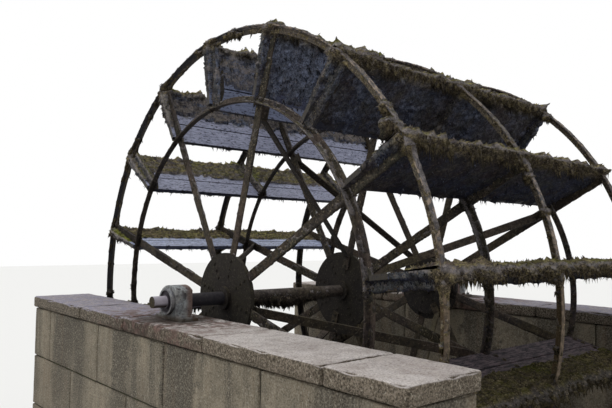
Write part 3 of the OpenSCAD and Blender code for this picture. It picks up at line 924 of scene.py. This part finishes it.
def grow(name, sheets, tuft_count, seed, hang=(), material=None):
    """One moss piece from several crusts, with tufts and hanging threads."""
    points, faces, roots, outs, deep = [], [], [], [], []
    for sheet_points, sheet_faces, outward, depth in sheets:
        base = len(points)
        points.extend(Vector(p) for p in sheet_points)
        faces.extend([[i + base for i in face] for face in sheet_faces])
        thick = depth > 0.006
        roots.append(sheet_points[thick])
        outs.append(outward[thick])
        deep.append(depth[thick])
    roots, outs, deep = np.concatenate(roots), np.concatenate(outs), np.concatenate(deep)
    if len(deep):
        crests = deep > np.quantile(deep, 0.65)
        tufts(points, faces, roots[crests], outs[crests], tuft_count, shortest=0.006, longest=0.024,
              droop=0.20, thick=0.010, seed=seed)
    low = outs[:, 2] < 0.1
    tufts(points, faces, roots[low], outs[low], tuft_count // 2, shortest=0.015, longest=0.045,
          droop=0.9, thick=0.008, seed=seed + 1)
    for spots_below, count, shortest, longest in hang:
        down = np.tile((0.0, 0.0, -1.0), (len(spots_below), 1))
        tufts(points, faces, spots_below, down, count, shortest, longest, droop=1.0,
              thick=0.004 + 0.08 * longest, seed=seed + 2)
    made = mesh_object(name, points, faces, material or moss)
    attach(made, "wheel")


ring_in, ring_out = 1.760, 1.820
rim_line = [(0.0, 2.405), (0.0, rim_in), (-leg_t, rim_in), (-leg_t, rim_out), (0.054, rim_out),
            (0.054, rim_out - leg_t), (0.004, rim_out - leg_t)]
ring_line = [(0.0, 1.775), (0.0, ring_in), (-0.056, ring_in), (-0.056, ring_in + leg_t),
             (-leg_t, ring_in + leg_t), (-leg_t, ring_out), (0.0, ring_out), (0.0, 1.775)]
for i, plane, way in frames:
    for kind, outline, start_depth in (("rim", rim_line, 0.006), ("inner_ring", ring_line, 0.004)):
        if kind == "rim" and i < 3:
            outline = [(-leg_t - min(x, flange_w - leg_t), r) for x, r in outline]
        line, left = trace([(way * x, r) for x, r in outline], 0.011)[1:]
        if (kind == "inner_ring") == (i == 3):
            left = -left
        around = np.linspace(0, 360, int(2 * math.pi * outline[0][1] / 0.018) + 1)[:, None]
        points = spots(around, line[:, 1], 0.0, plane + line[:, 0])
        outward = aims(around, left[:, 1], 0.0, left[:, 0])
        coarse = lumps(points, 0.55, i + 1)
        medium = lumps(points, 0.10, i + 5)
        fine = lumps(points, 0.035, i + 9)
        beside = (around - first_spoke + paddle_step / 2) % paddle_step - paddle_step / 2
        junction = np.exp(-(np.radians(beside) * outline[0][1] / 0.07) ** 2)
        depth = start_depth * (0.9 * coarse + 1.1 * medium + 0.9 * fine + 0.4 * outward[..., 2])
        high, least = (0.026, 0.7) if kind == "rim" else (0.012, 0.5)
        depth += high * junction * (least + 0.6 * medium)
        depth[-1] = depth[0]
        sheets = [crust(points, outward, depth, 0.5)]
        if kind == "rim":
            clumps = [(rng.uniform(0, 360), rng.uniform(0.020, 0.042)) for n in range(26)]
            if i == 1:
                clumps.append((146.0, 0.095))
            for where, size in clumps:
                centre = spots(where, rng.uniform(2.385, 2.425), 0.0, plane - 0.02)
                sheets.append(ball(centre, size, rng.uniform(0, 90)))
        grow("moss_%s_%d" % (kind, i), sheets, 1300 if kind == "rim" else 600, 100 * i + len(kind),
             material=rim_moss)


# Moss on the boards
# On the side that faces the sky it lies like a thick mat over the outer board.
# On the other side it laps over the edge and hangs down in a ragged fringe.
half_board = 1.530
paddle_low, board_inner, board_outer = 1.7755, 2.0055, 2.4195
for k in range(16):
    angle = first_spoke + paddle_step * k
    up = math.cos(math.radians(angle))
    reaches = [0.33 if side_up > 0.30 else (0.40 if side_up > 0.0 else 0.644) for side_up in (up, -up)]
    at, line, left = trace([(board_outer - reaches[0], board_face), (board_outer, board_face),
                            (board_outer, board_back), (board_outer - reaches[1], board_back)], 0.0165)
    along = np.linspace(-half_board, half_board, 156)[:, None]
    points = spots(angle, line[:, 0], line[:, 1], along)
    outward = aims(angle, left[:, 0], left[:, 1], 0.0) + np.zeros((len(along), 1, 1))
    from_edge = at - reaches[0] - 0.020
    reach = np.where(from_edge < 0, reaches[0], reaches[1]) + 0.02
    share = 1.0 - np.abs(from_edge) / reach
    facing = np.where(from_edge < 0, up, -up)
    coarse = lumps(points, 0.42, 20 + k)
    hummock = np.maximum(0.0, 0.4 * lumps(points, 0.30, 30 + k) + 0.9 * lumps(points, 0.09, 35 + k) + 0.18)
    medium = lumps(points, 0.09, 40 + k)
    fine = lumps(points, 0.036, 60 + k)
    held = sum(np.exp(-((along - plane) / 0.10) ** 2) for plane in (-bay, 0.0, bay))
    crest = np.exp(-(from_edge / 0.085) ** 2)
    open_side = facing > 0.15
    body = np.where(open_side, 0.014 + 0.026 * share, 0.007) * (1.0 + 0.6 * coarse)
    bumps = np.where(open_side, 0.016, 0.009) * (medium + 0.9 * fine)
    high = 0.12 if up > 0.30 else 0.11
    bulge = crest * (high * hummock + 0.020 * coarse)
    bulge *= 1.0 + 0.7 * fine + 0.5 * lumps(points, 0.015, 70 + k)
    bulge *= 0.35 + 0.65 * np.clip(0.6 + 1.5 * outward[..., 2], 0.0, 1.0)
    present = np.minimum(share, 0.6 * open_side + 0.35) + 0.10 * coarse + 0.16 * medium + 0.08 * fine
    present = np.clip((present - np.where(open_side, 0.06, 0.02)) / 0.10, 0.0, 1.0)
    depth = present * (body + bumps + bulge + 0.026 * held * share)
    depth = np.where(present > 0, np.maximum(depth, 0.004), -1.0)
    depth *= np.minimum(1.0, (half_board + 0.012 - np.abs(along)) / 0.035)
    sheet = crust(points, outward, depth, 0.6)
    fringe = []
    for radius, around, sparse in ((board_outer, board_back, 0.0), (board_inner, board_back, 0.25),
                                   (paddle_low, board_back, 0.15), (paddle_low, board_face, 0.25)):
        edge = spots(angle, radius, around, np.linspace(-half_board, half_board, 500))
        fringe.append(edge[lumps(edge, 0.20, 80 + k) > sparse])
    drape = spots(angle, 2.400, board_face if up < 0 else board_back,
                  np.linspace(-half_board, half_board, 300))
    drape = drape[lumps(drape, 0.30, 90 + k) > -0.1]
    standing = sheet[0][np.abs(sheet[2][:, 2]) < 0.6]
    grow("moss_paddle_%02d" % (k + 1), [sheet], 900, 500 + 10 * k,
         hang=[(np.concatenate(fringe), 150, 0.012, 0.045), (drape, 260, 0.05, 0.14),
               (standing, 300, 0.02, 0.07)])


# Moss on the spokes, brackets and axle
# A thinner crust sits on the ironwork: thick round the ends of the boards,
# patchy on the spokes, and in dripping clumps below the axle in the near bay.
def strip(angle, section, step, span, plane, way):
    """Points on the faces of a bar along a spoke or bracket, and the directions out of them."""
    line, left = trace([(way * x, t) for x, t in section], step)[1:]
    points = spots(angle, span, line[:, 1], plane + line[:, 0])
    outward = aims(angle, 0.0, way * left[:, 1], way * left[:, 0]) + np.zeros((len(span), 1, 1))
    return points, outward


for i, plane, way in frames:
    spoke_sheets, bracket_sheets = [], []
    for k in range(16):
        angle = first_spoke + paddle_step * k
        up = math.cos(math.radians(angle))
        if k % 2 == 0:
            section = [(-bar_t, -bar_half), (-bar_t, bar_half), (0.0, bar_half)]
            span = np.arange(0.415, 2.425, 0.020)[:, None]
            body, wanted, sheets = 0.0015, 0.10, spoke_sheets
        else:
            section = [(0.0, -0.045), (0.0, 0.035), (0.008, 0.035), (0.008, -0.037), (0.048, -0.037)]
            span = np.arange(1.765, 2.425, 0.018)[:, None]
            body, wanted, sheets = 0.010, -0.35, bracket_sheets
        points, outward = strip(angle, section, 0.013, span, plane, way)
        coarse = lumps(points, 0.35, 120 + 16 * i + k)
        medium = lumps(points, 0.07, 180 + 16 * i + k)
        rough = coarse + 0.8 * medium + 0.35 * outward[..., 2] + 0.5 * (span > 1.7) - wanted
        depth = np.where(rough > 0, body * (1.0 + rough + 0.5 * medium), -1.0)
        sheets.append(crust(points, outward, depth, 0.6))
        if i != 2:
            span = np.arange(1.90, 2.43, 0.016)[:, None]
            section = [(-0.050, board_back), (-0.050, board_face), (0.0, board_face)]
            points, outward = strip(angle, section, 0.012, span, plane, way)
            medium = lumps(points, 0.08, 240 + 16 * i + k)
            fine = lumps(points, 0.03, 300 + 16 * i + k)
            thick = np.clip((span - 1.93) / 0.15, 0.0, 1.0)
            depth = thick * (0.018 + 0.014 * medium + 0.008 * fine + 0.006 * up)
            bracket_sheets.append(crust(points, outward, np.where(depth > 0.002, depth, -1.0), 0.9))
    grow("moss_spokes_%d" % i, spoke_sheets, 800, 900 + i, material=rim_moss)
    grow("moss_brackets_%d" % i, bracket_sheets, 900, 920 + i)

axle_r, moss_end = 0.0565, 1.34
along = np.arange(-moss_end, moss_end, 0.016)[:, None]
around = np.linspace(0, 360, 33)
points = spots(around, axle_r, 0.0, along)
outward = aims(around, 1.0, 0.0, 0.0 * along)
coarse = lumps(points, 0.30, 401)
medium = lumps(points, 0.07, 402)
hanging = np.maximum(0.0, -outward[..., 2]) ** 3
local_share = np.exp(-((along + 0.82) / 0.28) ** 2)
depth = 0.006 * (-0.2 + coarse + 0.9 * medium - 0.8 * outward[..., 2])
depth += 0.070 * hanging * local_share * np.maximum(0.0, 0.35 + lumps(points, 0.045, 403))
depth *= np.minimum(1.0, (moss_end - np.abs(along)) / 0.05)
depth[:, -1] = depth[:, 0]
sheet = crust(points, outward, depth, 0.6)
below_axle = spots(270.0, axle_r, 0.0, np.linspace(-1.14, -0.50, 90))
grow("moss_axle", [sheet], 300, 950, hang=[(below_axle, 150, 0.03, 0.10)], material=rim_moss)
